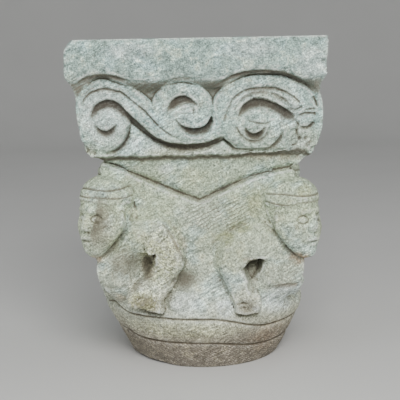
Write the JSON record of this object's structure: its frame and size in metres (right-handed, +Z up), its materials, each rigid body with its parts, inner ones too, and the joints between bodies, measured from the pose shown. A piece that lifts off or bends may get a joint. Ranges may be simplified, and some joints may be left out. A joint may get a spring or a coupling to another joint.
{
  "type": "romanesque capital",
  "caption": "Carved stone capital: square slab, frieze of vine scrolls, crouching figures with heads on the corners, and a round neck with ring lines.",
  "frame": {"origin": "centre of the square block, at the level of the lower bed", "axes": "+Z up the shaft's axis towards the upper bed, -Y out of the front, +X to the right of the front"},
  "size_m": [0.3435, 0.342, 0.46],
  "materials": {
    "stone": "weathered pale grey limestone, matt and pitted, with dirt in the grooves and a browner neck"
  },
  "bodies": {
    "root": {"capital": "stone"}
  },
  "joints": []
}
